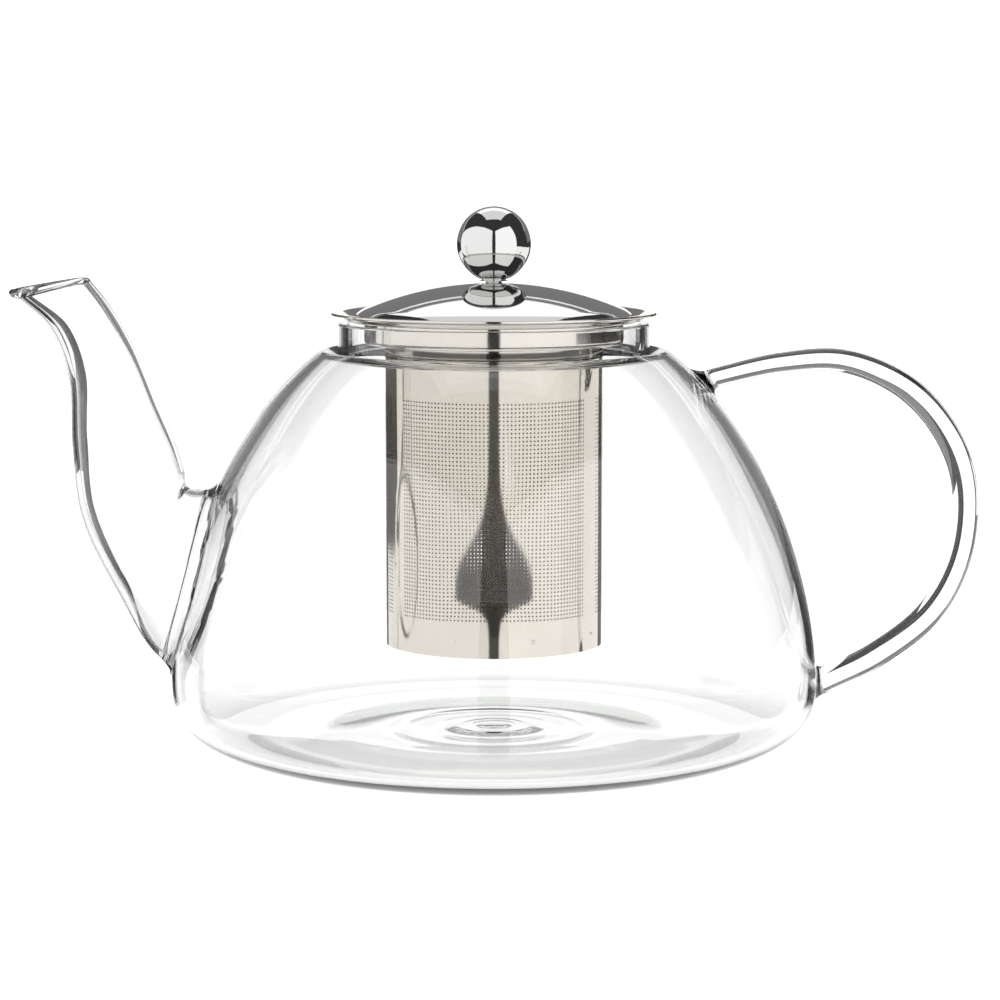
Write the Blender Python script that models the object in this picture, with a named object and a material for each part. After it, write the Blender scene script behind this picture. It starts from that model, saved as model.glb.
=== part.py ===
"""Glass teapot with a lift-out steel infuser and a steel lid with a ball knob.

The vessel's axis is the Z axis and its foot rests on z = 0. The spout points to -X and the
handle to +X. All lengths are in metres.
"""

from math import cos, hypot, pi, sin, tau

import bmesh
import bpy
from mathutils import Vector

# Space that is left between two pieces that touch.
GAP = 0.0003
# Facets around the vessel and the steel pieces, which share them so that gaps stay even.
SIDES = 48

# Glass vessel: a heel that curves up from the foot, a dome, and a short neck.
BODY_R = 0.0805
FOOT_R = 0.0540
FOOT_INNER_R = 0.0440
FOOT_RISE = 0.0010
FOOT_RAMP = 0.0040
HEEL_HEIGHT = 0.0166
HEEL_POWER = 2.6
DOME_RISE = 0.0941
DOME_Z_POWER = 1.687
DOME_R_POWER = 2.425
BODY_WALL = 0.0022
BASE_THICKNESS = 0.0032
SHOULDER_Z = 0.0986
NECK_R = 0.0385
NECK_FILLET = 0.0024
LIP_TOP = 0.1048
HEEL_STEPS = 7
DOME_STEPS = 9
LIP_STEPS = 4

# Spout: each row is one oval section, given by its outer end (x, z), its inner end (x, z)
# and half its width along Y, from inside the vessel to the mouth.
SPOUT_SECTIONS = (
    ((-0.0640, 0.0130), (-0.0590, 0.0640), 0.0235),
    ((-0.0828, 0.0204), (-0.0752, 0.0632), 0.0215),
    ((-0.0938, 0.0376), (-0.0772, 0.0680), 0.0170),
    ((-0.1022, 0.0555), (-0.0796, 0.0760), 0.0132),
    ((-0.1045, 0.0735), (-0.0832, 0.0848), 0.0108),
    ((-0.1050, 0.0905), (-0.0881, 0.0971), 0.0091),
    ((-0.1095, 0.1032), (-0.0945, 0.1084), 0.0079),
    ((-0.1180, 0.1114), (-0.0998, 0.1152), 0.0070),
)
SPOUT_WALL = 0.0018
SPOUT_LIP = 0.0006
SPOUT_STEPS = 3
SPOUT_SIDES = 24
# The inner sections that also cut the hole in the vessel's wall.
SPOUT_BORE_SECTIONS = 3

# Handle: a bent glass rod, drawn thinner towards its upper end, that swells where it is fused
# to the vessel.
HANDLE_R = 0.0032
HANDLE_TOP_R = 0.0023
HANDLE_TAPER_LENGTH = 0.0550
HANDLE_BOSS_GROWTH = 0.0011
HANDLE_BOSS_LENGTH = 0.0070
HANDLE_PATH = (
    (0.0440, 0.0878),
    (0.0565, 0.0914),
    (0.0715, 0.0946),
    (0.0870, 0.0950),
    (0.1018, 0.0887),
    (0.1120, 0.0775),
    (0.1171, 0.0635),
    (0.1160, 0.0465),
    (0.1088, 0.0320),
    (0.0960, 0.0215),
    (0.0830, 0.0150),
    (0.0700, 0.0090),
)
HANDLE_STEPS = 3
HANDLE_SIDES = 12

# Infuser: sheet steel collar whose rim rests on the glass lip, tube and bottom disc.
SHEET = 0.0008
RIM_R = 0.0404
RIM_TOP = 0.1074
RIM_SEAT_R = 0.0365
COLLAR_R = 0.0321
COLLAR_BOTTOM = 0.0997
COLLAR_BEND = 0.0008
TUBE_R = 0.0270
TUBE_WALL = 0.0006
TUBE_BOTTOM = 0.0258
TUBE_HEM = 0.0010
DISC_RAISE = 0.0005
DISC_THICKNESS = 0.0006

# Lid: a shallow dome with a flat rim, a locating ring below it, and a ball knob on a screw.
LID_RIM_R = 0.0340
LID_DOME_R = 0.0310
LID_DOME_FOOT = 0.0012
LID_TOP = 0.1146
LID_STEPS = 6
RING_R = 0.0309
RING_WALL = 0.0006
RING_BOTTOM = 0.1016
BALL_R = 0.00925
BALL_Z = 0.1239
KNOB_NECK_R = 0.0032
BALL_STEPS = 12
SCREW_R = 0.0019
SCREW_TIP = 0.1200
SCREW_HEAD_R = 0.0038
SCREW_HEAD = 0.0016
SMALL_SIDES = 32

# Edges between faces that meet more sharply than this are shown as edges.
SHARP_ANGLE = 0.7


def clear_scene():
    for old in list(bpy.data.objects):
        bpy.data.objects.remove(old, do_unlink=True)


def make_material(name, colour, roughness, metallic, transmission=0.0, ior=1.45):
    material = bpy.data.materials.new(name)
    material.use_nodes = True
    shader = material.node_tree.nodes["Principled BSDF"]
    shader.inputs["Base Color"].default_value = (*colour, 1.0)
    shader.inputs["Roughness"].default_value = roughness
    shader.inputs["Metallic"].default_value = metallic
    shader.inputs["Transmission Weight"].default_value = transmission
    shader.inputs["IOR"].default_value = ior
    material.diffuse_color = (*colour, 1.0)
    return material


def glass_material(name, colour):
    return make_material(name, colour, roughness=0.02, metallic=0.0, transmission=1.0, ior=1.47)


def steel_material(name, colour, roughness):
    return make_material(name, colour, roughness, metallic=1.0)


def finish_object(name, shape, material):
    """Turn a bmesh into a smooth shaded object with its faces pointing out."""
    bmesh.ops.recalc_face_normals(shape, faces=shape.faces)
    mesh = bpy.data.meshes.new(name)
    shape.to_mesh(mesh)
    shape.free()
    mesh.materials.append(material)
    mesh.shade_smooth()
    mesh.set_sharp_from_angle(angle=SHARP_ANGLE)
    made = bpy.data.objects.new(name, mesh)
    bpy.context.scene.collection.objects.link(made)
    return made


def lathe(name, profile, material, sides=SIDES):
    """Turn a closed outline of (radius, height) points about Z; radius 0 makes a pole."""
    shape = bmesh.new()
    rings = []
    for radius, height in profile:
        if radius == 0.0:
            rings.append([shape.verts.new((0.0, 0.0, height))])
            continue
        angles = [tau * i / sides for i in range(sides)]
        rings.append([shape.verts.new((radius * cos(a), radius * sin(a), height)) for a in angles])
    pairs = list(zip(rings, rings[1:]))
    if profile[0][0] > 0.0:
        pairs.append((rings[-1], rings[0]))
    for low, high in pairs:
        join_rings(shape, low, high)
    return finish_object(name, shape, material)


def join_rings(shape, low, high):
    """Fill the band between two rings of vertices, or the fan between a ring and a pole."""
    count = max(len(low), len(high))
    for i in range(count):
        j = (i + 1) % count
        corners = [low[i % len(low)], low[j % len(low)], high[j % len(high)], high[i % len(high)]]
        unique = list(dict.fromkeys(corners))
        if len(unique) > 2:
            shape.faces.new(unique)


def arc(centre, radius, start, end, steps):
    """Points (r, z) on a circle's arc, angles in radians."""
    turns = [start + (end - start) * i / steps for i in range(steps + 1)]
    return [(centre[0] + radius * cos(t), centre[1] + radius * sin(t)) for t in turns]


def smooth_curve(points, steps):
    """Points on a Catmull-Rom curve through the given points, any number of values each."""
    ends = [points[0], *points, points[-1]]
    line = []
    for a, b, c, d in zip(ends, ends[1:], ends[2:], ends[3:]):
        for i in range(steps):
            line.append(tuple(curve_value(*v, i / steps) for v in zip(a, b, c, d)))
    line.append(tuple(points[-1]))
    return line


def curve_value(a, b, c, d, t):
    linear = c - a
    square = 2 * a - 5 * b + 4 * c - d
    cube = 3 * b - 3 * c + d - a
    return b + 0.5 * (linear * t + square * t**2 + cube * t**3)


def heel_points(foot_r, outer_r, low, high):
    """The heel's quarter of a superellipse, from the foot up to the widest ring."""
    points = []
    for i in range(HEEL_STEPS + 1):
        angle = 0.5 * pi * i / HEEL_STEPS
        reach = sin(angle) ** (2.0 / HEEL_POWER)
        rise = 1.0 - cos(angle) ** (2.0 / HEEL_POWER)
        points.append((foot_r + (outer_r - foot_r) * reach, low + (high - low) * rise))
    return points


def dome_r(height):
    """Radius of the dome's outside at a height above the widest ring."""
    share = (height - HEEL_HEIGHT) / DOME_RISE
    return BODY_R * (1.0 - share**DOME_Z_POWER) ** (1.0 / DOME_R_POWER)


def dome_points(inset, top):
    """The dome above the widest ring, moved in by an inset."""
    rise = top - HEEL_HEIGHT
    heights = [HEEL_HEIGHT + rise * i / DOME_STEPS for i in range(1, DOME_STEPS + 1)]
    return [(dome_r(z) - inset, z) for z in heights]


def body_outside():
    """Outside of the vessel from the edge of its foot to the start of its lip."""
    fillet = (NECK_R, SHOULDER_Z + NECK_FILLET)
    return [
        *heel_points(FOOT_R, BODY_R, 0.0, HEEL_HEIGHT),
        *dome_points(0.0, SHOULDER_Z),
        fillet,
    ]


def body_inside():
    """Inside of the vessel from its lip down to the floor."""
    inner_r = NECK_R - BODY_WALL
    floor_r = FOOT_R - BODY_WALL
    shoulder = SHOULDER_Z - 0.5 * BODY_WALL
    return [
        (inner_r, shoulder + NECK_FILLET),
        *reversed(dome_points(BODY_WALL, shoulder)),
        *reversed(heel_points(floor_r, BODY_R - BODY_WALL, BASE_THICKNESS, HEEL_HEIGHT)),
    ]


def make_body(material):
    half = 0.5 * BODY_WALL
    lip = arc((NECK_R - half, LIP_TOP - half), half, 0.0, pi, LIP_STEPS)
    under = [(0.0, FOOT_RISE), (FOOT_INNER_R - FOOT_RAMP, FOOT_RISE), (FOOT_INNER_R, 0.0)]
    profile = [*under, *body_outside(), *lip, *body_inside(), (0.0, BASE_THICKNESS)]
    return lathe("glass_body", profile, material)


def make_body_envelope(material):
    """Solid that fills the vessel's outside plus the gap; it trims the fused pieces."""
    outside = [(r + GAP, z) for r, z in body_outside()]
    profile = [(0.0, -GAP), (FOOT_R, -GAP), *outside, (NECK_R + GAP, LIP_TOP), (0.0, LIP_TOP)]
    return as_cutter(lathe("cutter_envelope", profile, material))


def as_cutter(made):
    made.hide_render = True
    made.display_type = "WIRE"
    return made


def cut(target, cutter):
    modifier = target.modifiers.new("cut_" + cutter.name, "BOOLEAN")
    modifier.operation = "DIFFERENCE"
    modifier.solver = "EXACT"
    modifier.object = cutter


def spout_rings(sections, inset):
    """Rings of points around the oval sections, moved in by an inset."""
    flat = [(*outer, *inner, half) for outer, inner, half in sections]
    rings = []
    for x0, z0, x1, z1, half in smooth_curve(flat, SPOUT_STEPS):
        centre = Vector(((x0 + x1) / 2, 0.0, (z0 + z1) / 2))
        reach = hypot(x1 - x0, z1 - z0) / 2
        long_way = Vector((x0 - x1, 0.0, z0 - z1)).normalized() * (reach - inset)
        wide_way = Vector((0.0, half - inset, 0.0))
        angles = [tau * i / SPOUT_SIDES for i in range(SPOUT_SIDES)]
        rings.append([centre + cos(a) * long_way + sin(a) * wide_way for a in angles])
    return rings


def loft(name, rings, material, closed):
    """Skin a row of rings; closed joins the last ring to the first, else the ends are capped."""
    shape = bmesh.new()
    bands = [[shape.verts.new(p) for p in ring] for ring in rings]
    for low, high in zip(bands, bands[1:]):
        join_rings(shape, low, high)
    if closed:
        join_rings(shape, bands[-1], bands[0])
    else:
        shape.faces.new(bands[0])
        shape.faces.new(bands[-1])
    return finish_object(name, shape, material)


def make_spout(material):
    outside = spout_rings(SPOUT_SECTIONS, 0.0)
    inside = spout_rings(SPOUT_SECTIONS, SPOUT_WALL)
    outward = (centre_of(outside[-1]) - centre_of(outside[-2])).normalized()
    lip = [(a + b) / 2 + outward * SPOUT_LIP for a, b in zip(outside[-1], inside[-1])]
    return loft("spout", [*outside, lip, *reversed(inside)], material, closed=True)


def make_spout_bore(material):
    rings = spout_rings(SPOUT_SECTIONS[:SPOUT_BORE_SECTIONS], SPOUT_WALL)
    return as_cutter(loft("cutter_spout_bore", rings, material, closed=False))


def centre_of(ring):
    return sum(ring, Vector()) / len(ring)


def handle_radius(from_top, from_foot):
    """The rod's radius at a distance from its upper and from its lower fused end."""
    share = max(0.0, 1.0 - min(from_top, from_foot) / HANDLE_BOSS_LENGTH)
    taper = min(1.0, from_top / HANDLE_TAPER_LENGTH)
    return HANDLE_TOP_R + (HANDLE_R - HANDLE_TOP_R) * taper + HANDLE_BOSS_GROWTH * share**2


def make_handle(material):
    line = [Vector((x, 0.0, z)) for x, z in smooth_curve(HANDLE_PATH, HANDLE_STEPS)]
    # Distances count from where the path crosses the vessel's wall.
    top_end = first_outside(line)
    foot_end = first_outside(line[::-1])
    rings = []
    for i, point in enumerate(line):
        ahead = line[min(i + 1, len(line) - 1)] - line[max(i - 1, 0)]
        sideways = Vector((0.0, 1.0, 0.0))
        across = ahead.normalized().cross(sideways)
        radius = handle_radius((point - top_end).length, (point - foot_end).length)
        angles = [tau * k / HANDLE_SIDES for k in range(HANDLE_SIDES)]
        rings.append([point + radius * (cos(a) * across + sin(a) * sideways) for a in angles])
    return loft("handle", rings, material, closed=False)


def first_outside(line):
    return next(p for p in line if p.x > dome_r(max(p.z, HEEL_HEIGHT)))


def make_collar(material):
    """Rim, collar and shoulder of the infuser as one pressed sheet."""
    seat = LIP_TOP + GAP
    under = [
        (RIM_R, RIM_TOP - SHEET),
        (RIM_SEAT_R, seat),
        (COLLAR_R, seat),
        (COLLAR_R, COLLAR_BOTTOM + COLLAR_BEND),
        (COLLAR_R - COLLAR_BEND, COLLAR_BOTTOM),
        (TUBE_R - TUBE_WALL, COLLAR_BOTTOM),
    ]
    inner_r = COLLAR_R - SHEET
    over = [
        (TUBE_R - TUBE_WALL, COLLAR_BOTTOM + SHEET),
        (inner_r, COLLAR_BOTTOM + SHEET),
        (inner_r, seat + SHEET),
        (RIM_SEAT_R, seat + SHEET),
        (RIM_R, RIM_TOP),
    ]
    return lathe("infuser_collar", under + over, material)


def make_tube(material):
    top = COLLAR_BOTTOM - GAP
    inner_r = TUBE_R - TUBE_WALL
    profile = [
        (TUBE_R, TUBE_BOTTOM),
        (TUBE_R, TUBE_BOTTOM + TUBE_HEM),
        (TUBE_R, top),
        (inner_r, top),
        (inner_r, TUBE_BOTTOM),
    ]
    return lathe("infuser_tube", profile, material)


def make_disc(material):
    radius = TUBE_R - TUBE_WALL - GAP
    low = TUBE_BOTTOM + DISC_RAISE
    high = low + DISC_THICKNESS
    return lathe("infuser_bottom", [(0.0, low), (radius, low), (radius, high), (0.0, high)], material)


def lid_seat():
    return LIP_TOP + GAP + SHEET + GAP


def lid_surface(drop, low_r, high_r):
    """The dome as a shallow cap of a sphere, from a low radius to a high radius."""
    foot = lid_seat() + SHEET + LID_DOME_FOOT
    rise = LID_TOP - foot
    sphere = (LID_DOME_R**2 + rise**2) / (2 * rise)
    radii = [low_r + (high_r - low_r) * i / LID_STEPS for i in range(LID_STEPS + 1)]
    return [(r, LID_TOP - drop - sphere + (sphere**2 - r**2) ** 0.5) for r in radii]


def make_lid(material):
    seat = lid_seat()
    hole_r = SCREW_R + GAP
    inner_r = LID_DOME_R - SHEET
    top = lid_surface(0.0, LID_DOME_R, hole_r)
    under = lid_surface(SHEET, hole_r, inner_r)
    rim = [(inner_r, seat), (LID_RIM_R, seat), (LID_RIM_R, seat + SHEET), (LID_DOME_R, seat + SHEET)]
    return lathe("lid_dome", [*rim, *top, *under], material)


def make_ring(material):
    top = lid_seat() - GAP
    inner_r = RING_R - RING_WALL
    profile = [(RING_R, RING_BOTTOM), (RING_R, top), (inner_r, top), (inner_r, RING_BOTTOM)]
    return lathe("lid_ring", profile, material)


def make_knob(material):
    """Ball with a short neck and a blind hole for the screw."""
    foot = LID_TOP + GAP
    bore_r = SCREW_R + GAP
    start = -0.5 * pi + KNOB_NECK_R / BALL_R
    ball = arc((0.0, BALL_Z), BALL_R, start, 0.5 * pi, BALL_STEPS)[:-1]
    bore = [(0.0, SCREW_TIP + GAP), (bore_r, SCREW_TIP + GAP), (bore_r, foot)]
    profile = [*bore, (KNOB_NECK_R, foot), *ball, (0.0, BALL_Z + BALL_R)]
    return lathe("ball_knob", profile, material, SMALL_SIDES)


def make_screw(material):
    """Pan head screw that holds the knob from below the lid."""
    head_top = LID_TOP - SHEET - GAP
    head_low = head_top - SCREW_HEAD
    profile = [
        (0.0, head_low),
        (SCREW_HEAD_R - 0.5 * SCREW_HEAD, head_low),
        (SCREW_HEAD_R, head_low + 0.5 * SCREW_HEAD),
        (SCREW_HEAD_R, head_top),
        (SCREW_R, head_top),
        (SCREW_R, SCREW_TIP),
        (0.0, SCREW_TIP),
    ]
    return lathe("knob_screw", profile, material, SMALL_SIDES)


def build_vessel():
    clear = glass_material("clear_glass", (0.93, 0.97, 0.95))
    spout_glass = glass_material("spout_glass", (0.92, 0.96, 0.95))
    rod_glass = glass_material("rod_glass", (0.90, 0.95, 0.93))
    envelope = make_body_envelope(clear)
    body = make_body(clear)
    spout = make_spout(spout_glass)
    handle = make_handle(rod_glass)
    cut(body, make_spout_bore(clear))
    cut(spout, envelope)
    cut(handle, envelope)


def build_infuser():
    make_collar(steel_material("collar_steel", (0.72, 0.70, 0.67), 0.16))
    make_tube(steel_material("tube_steel", (0.66, 0.64, 0.60), 0.24))
    make_disc(steel_material("disc_steel", (0.62, 0.60, 0.57), 0.28))


def build_lid():
    make_lid(steel_material("lid_steel", (0.74, 0.74, 0.73), 0.08))
    make_ring(steel_material("ring_steel", (0.64, 0.63, 0.61), 0.22))
    make_knob(steel_material("knob_steel", (0.80, 0.80, 0.80), 0.04))
    make_screw(steel_material("screw_steel", (0.55, 0.55, 0.54), 0.30))


clear_scene()
build_vessel()
build_infuser()
build_lid()
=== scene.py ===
"""Looks of the glass teapot: fused blown glass, perforated and polished steel, studio light.

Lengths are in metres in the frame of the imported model: Z up, spout at -X, handle at +X.
"""

from math import cos, exp, hypot, pi, radians, sin, sqrt, tan, tau

import bmesh
import bpy
from mathutils import Matrix, Vector


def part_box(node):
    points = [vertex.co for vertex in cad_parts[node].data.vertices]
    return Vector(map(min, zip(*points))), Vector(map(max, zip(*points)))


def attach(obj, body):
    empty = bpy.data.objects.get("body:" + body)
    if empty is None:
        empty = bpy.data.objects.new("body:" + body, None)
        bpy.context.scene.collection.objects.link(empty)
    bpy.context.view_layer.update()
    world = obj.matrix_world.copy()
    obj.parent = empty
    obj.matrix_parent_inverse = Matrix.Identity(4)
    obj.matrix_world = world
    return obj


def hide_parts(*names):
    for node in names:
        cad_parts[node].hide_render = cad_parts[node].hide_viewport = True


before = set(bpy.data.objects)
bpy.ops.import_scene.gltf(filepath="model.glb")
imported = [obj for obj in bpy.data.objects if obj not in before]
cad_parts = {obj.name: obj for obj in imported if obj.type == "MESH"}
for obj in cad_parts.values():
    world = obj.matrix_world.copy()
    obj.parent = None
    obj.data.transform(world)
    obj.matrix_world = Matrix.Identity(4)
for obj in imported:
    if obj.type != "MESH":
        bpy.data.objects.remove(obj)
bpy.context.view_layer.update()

# ---------------------------------------------------------------- sizes read from the frame
BODY_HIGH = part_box("glass_body")[1]
COLLAR_LOW, COLLAR_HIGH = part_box("infuser_collar")
TUBE_LOW, TUBE_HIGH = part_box("infuser_tube")
DISC_LOW, DISC_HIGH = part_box("infuser_bottom")
LID_LOW, LID_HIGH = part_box("lid_dome")
RING_LOW, RING_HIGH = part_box("lid_ring")
KNOB_LOW, KNOB_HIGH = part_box("ball_knob")
SCREW_LOW, SCREW_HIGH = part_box("knob_screw")

BODY_R = BODY_HIGH.x
LIP_TOP = BODY_HIGH.z
TUBE_R = TUBE_HIGH.x
LID_R = LID_HIGH.x

# ---------------------------------------------------------------- camera
CAMERA_DISTANCE = 0.6915
CAMERA_PITCH = radians(7.3)
CAMERA_LENS = 100.0
CAMERA_SENSOR = 36.0
AIM = Vector((0.0015, 0.0, 0.0604))
LOOK = Vector((0.0, cos(CAMERA_PITCH), -sin(CAMERA_PITCH)))
CAMERA_UP = Vector((0.0, sin(CAMERA_PITCH), cos(CAMERA_PITCH)))

# ---------------------------------------------------------------- studio, azimuths in degrees
# Azimuth 0 is towards the camera and positive to its right; heights are from the table.
CARD_BEHIND = 1.0      # from the middle of the vessel to the card
CARD_SPREAD = 20.5     # half the width of the card, seen from the vessel
CARD_MARGIN = 1.05     # its height against the height of the camera's view there
CARD_GLOW = 1.3
SLIT = 5.2             # half the opening that the lens looks through
TABLE_R = 0.1000
TABLE_Z = -0.0001
TABLE_GLOW = 1.0
ROOM_GLOW = 0.045
# name, material, azimuth it is square to, distance, first and last azimuth, low, high, glow
BOARDS = (
    ("left_board", "left_light", -46.0, 1.0, -SLIT, -122.0, -0.80, 1.30, 1.15),
    ("right_board", "right_light", 48.0, 1.0, SLIT, 74.0, -0.80, 1.30, 1.28),
    ("low_board", "low_light", 108.0, 1.0, 74.0, 143.0, -0.60, 0.015, 1.2),
    ("low_left_board", "low_left_light", -136.0, 1.0, -122.0, -150.0, -0.36, -0.06, 1.1),
    ("rear_board", "dim_light", 180.0, 2.0, 124.0, 236.0, 0.16, 1.50, 0.22),
)
CEILING = 1.12
# name, material, half width and distance behind the vessel at the near edge and the far one, glow
LAMPS = (
    ("top_lamp", "top_light", (0.30, -0.12), (0.46, 0.70), 0.9),
    ("rear_lamp", "rear_light", (0.46, 0.70), (0.60, 1.50), 1.4),
    ("batten", "batten_light", (2.5, 1.72), (2.5, 1.80), 1.5),
)

# ---------------------------------------------------------------- glass vessel
FOOT_R = 0.0540
FOOT_INNER_R = 0.0440
FOOT_RISE = 0.0010
BASE_RIPPLE = 0.00006
BASE_RIPPLE_TURN = 620.0
BASE_RIPPLE_R = 0.020
HEEL_HEIGHT = 0.0166
HEEL_POWER = 2.6
DOME_RISE = 0.0941
DOME_Z_POWER = 1.687
DOME_R_POWER = 2.425
SHOULDER_Z = 0.0970
NECK_R = 0.0385
NECK_START = 0.0984
NECK_WALL = 0.0025
LIP_ROUND = 0.0006
INNER_SHOULDER_Z = 0.0949
INNER_NECK_START = 0.0962
OUTER_BEND = 0.95      # how far the bend's two ends reach, as shares of its chord
INNER_BEND = 0.68
WALL_LOW = 0.0021
WALL_HIGH = 0.0044
STUB = 0.0003          # short straight run that sets the direction in which a bend ends
FLOOR = 0.0032
FLOOR_R = 0.0600
GATHER_RISE = 0.0006
GATHER_R = 0.0105
# radius, lift and width of each ring that the pontil left on the inside of the base
PONTIL_RINGS = (
    (0.0047, -0.00014, 0.0011),
    (0.0092, 0.00014, 0.0013),
    (0.0133, -0.00011, 0.0015),
    (0.0243, 0.00008, 0.0020),
    (0.0385, 0.00004, 0.0030),
)
BASE_STEPS = 40
DOME_STEPS = 56
BEND_STEPS = 18
FLOOR_STEPS = 120
VESSEL_SIDES = 172
JOINT_CREASE = radians(50.0)

# ends of the outside's long axis, at the front and the back of the spout, and half its width
SPOUT_SECTIONS = (
    ((-0.0640, 0.0130), (-0.0590, 0.0640), 0.0235),
    ((-0.0828, 0.0204), (-0.0752, 0.0632), 0.0215),
    ((-0.0938, 0.0376), (-0.0772, 0.0680), 0.0170),
    ((-0.1022, 0.0555), (-0.0796, 0.0760), 0.0132),
    ((-0.1045, 0.0735), (-0.0832, 0.0848), 0.0108),
    ((-0.1050, 0.0905), (-0.0881, 0.0971), 0.0091),
    ((-0.1095, 0.1032), (-0.0945, 0.1084), 0.0079),
    ((-0.1180, 0.1114), (-0.0998, 0.1152), 0.0070),
)
SPOUT_WALL = 0.0017
SPOUT_STEPS = 14       # between two of those sections
SPOUT_RINGS = 120      # from the wall to the lip
SPOUT_SIDES = 96
SPOUT_FILLET = 0.0030
SPOUT_ROOT = 0.00006   # how far its wall runs past the vessel's inner surface
BORE_SPANS = 3         # how many of the first sections' spans also open the vessel's wall
SPOUT_LIP_R = 0.0013
SPOUT_LIP_FULL = 1.15  # mean radius of the lip's bead, as a share of the one above
SPOUT_LIP_UNEVEN = 0.35  # added to that share at the front, taken off at the back
SPOUT_LIP_TURN = radians(130.0)
SPOUT_LIP_STEPS = 16

HANDLE_R = 0.0032
HANDLE_TOP_R = 0.0023
HANDLE_TAPER_LENGTH = 0.0550
# centre line, as (x, z), from inside the shoulder to inside the heel
HANDLE_PATH = (
    (0.0440, 0.0878),
    (0.0565, 0.0914),
    (0.0715, 0.0946),
    (0.0870, 0.0950),
    (0.1018, 0.0887),
    (0.1120, 0.0775),
    (0.1171, 0.0635),
    (0.1160, 0.0465),
    (0.1088, 0.0320),
    (0.0960, 0.0215),
    (0.0830, 0.0150),
    (0.0700, 0.0090),
)
HANDLE_STEPS = 14
HANDLE_RINGS = 240
HANDLE_SIDES = 48
HANDLE_FILLET = 0.0026
HANDLE_ROOT = 0.5      # how deep it ends in the wall, as a share of the wall's thickness

LEAN_STEP = 0.0002     # the slope of the vessel's side is taken this far up and down
CROWD_BOTH = 0.9       # drop in the rings' spacing at both roots of a rod, as a share of the mean
CROWD_ONE = 0.25       # spacing at the root of a spout, as a share of the mean
BEAD_LEAST = 0.25      # the fused bead never thins below this share inside the wall
BEAD_FADE = 0.5        # share by which it thins over one thickness of the wall

# ---------------------------------------------------------------- steel parts
SHEET = 0.0007
STEEL_SIDES = 192
ROUND_SIDES = 256
SMALL_SIDES = 128
BRACE = 0.00012        # from the end of a straight run to the point that keeps it flat
CORNER_SHARE = 0.45    # most of a side that the rounding of one corner takes
SHARP = 0.6            # radians between faces above which an edge shades sharp
POLE = 1e-7            # a radius below this is on the axis

COLLAR_R = 0.0321
RIM_FOOT_R = 0.0362
RIM_BEND_R = 0.0378
RIM_GAP = 0.0003       # between the glass lip and the rim

TUBE_WALL = 0.0006
TUBE_EDGE = (0.0002, 0.0008)
HOLE_D = 0.00047
HOLE_SIDES = 8         # two for each corner of a cell
PANEL_LOW = 0.0344
PANEL_HIGH = 0.0862
PANEL_ROWS = 55
PANEL_COLUMNS = 54
PANEL_HALF = radians(54.0)
PANELS = 3
STRIP_COLUMNS = 8      # of the plain strip between two panels
LOW_ROWS = 6
# Heights where the flattening of a panel starts, is most and ends, then the angles from the
# panel's middle where it begins to fade and where it ends.
DENT_LOW = 0.0295
DENT_MIDDLE = 0.0405
DENT_HIGH = 0.0790
DENT_FLAT = radians(21.0)
DENT_HALF = radians(36.0)
DENT_DEPTH = 0.9       # 1 would make the middle of the panel quite flat
DENT_FADE = 1.3        # above 1 it holds longer before it fades upwards
DENT_STEPS = 120

WELD_COUNT = 8
WELD_SPACING = radians(41.0)
WELD_R = 0.00058
WELD_SUNK = 0.0002
WELD_OUTLINE = ((WELD_R, 0.0), (0.00050, 0.00007), (0.00030, 0.00015), (0.0, 0.00018))
WELD_HEIGHT = 0.0030   # above the middle of the bottom disc
WELD_SIDES = 20

DISC_PITCH = 0.00095
DISC_RIM = 0.0040
DISC_LAP = 0.0012      # how far the perforated plate runs under its rim
DISC_SUNK = 0.00008

LID_DOME_R = 0.0308
LID_FOOT = 0.1086
LID_HOLE_R = 0.0022
LID_GAP = 0.0001
LID_UNDER_IN = 0.0005  # how much sooner the underside leaves the dome than the top does
RING_WALL = 0.0006

KNOB_NECK_R = 0.0030
KNOB_NECK_OPENING = 0.42  # radians, from the ball's lowest point to where the neck leaves it
KNOB_BORE_R = 0.0022
KNOB_FLANGE = 0.0008
KNOB_GAP = 0.0003

SCREW_R = 0.0019
SCREW_HEAD = 0.0016
SCREW_CHAMFER = 0.0009
SCREW_SLOT = (0.0042, 0.0008, 0.0010)
SCREW_SIDES = 64

# ---------------------------------------------------------------- material numbers
GLASS_COLOUR = (0.99, 0.993, 0.99)
GLASS_SHADOW = (0.94, 0.96, 0.95)
GLASS_DEPTH_COLOUR = (0.58, 0.60, 0.58)
GLASS_DENSITY = 25.0
GLASS_IOR = 1.47
WAVE_SCALE = 34.0
WAVE_HEIGHT = 0.00006
GRAIN_SCALE = 260.0
GRAIN_STRETCH = (1.0, 1.0, 40.0)
GRAIN_HEIGHT = 2e-6
CLOUD_SCALE = 60.0
CLOUD_DARK = 0.9


# ---------------------------------------------------------------- mesh helpers
def new_object(name, verts, faces, material):
    """A smooth-shaded mesh with one material; edges sharper than SHARP stay sharp."""
    mesh = bpy.data.meshes.new(name)
    mesh.from_pydata([tuple(v) for v in verts], [], faces)
    mesh.validate()
    mesh.materials.append(material)
    mesh.shade_smooth()
    mesh.set_sharp_from_angle(angle=SHARP)
    made = bpy.data.objects.new(name, mesh)
    bpy.context.scene.collection.objects.link(made)
    return made


def ring_faces(low, high, count, faces):
    """Quads between two rings of vertex numbers, or triangles where one ring is a single pole."""
    for i in range(count):
        j = (i + 1) % count
        corners = [low[i % len(low)], low[j % len(low)], high[j % len(high)], high[i % len(high)]]
        unique = list(dict.fromkeys(corners))
        if len(unique) > 2:
            faces.append(unique)


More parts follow.
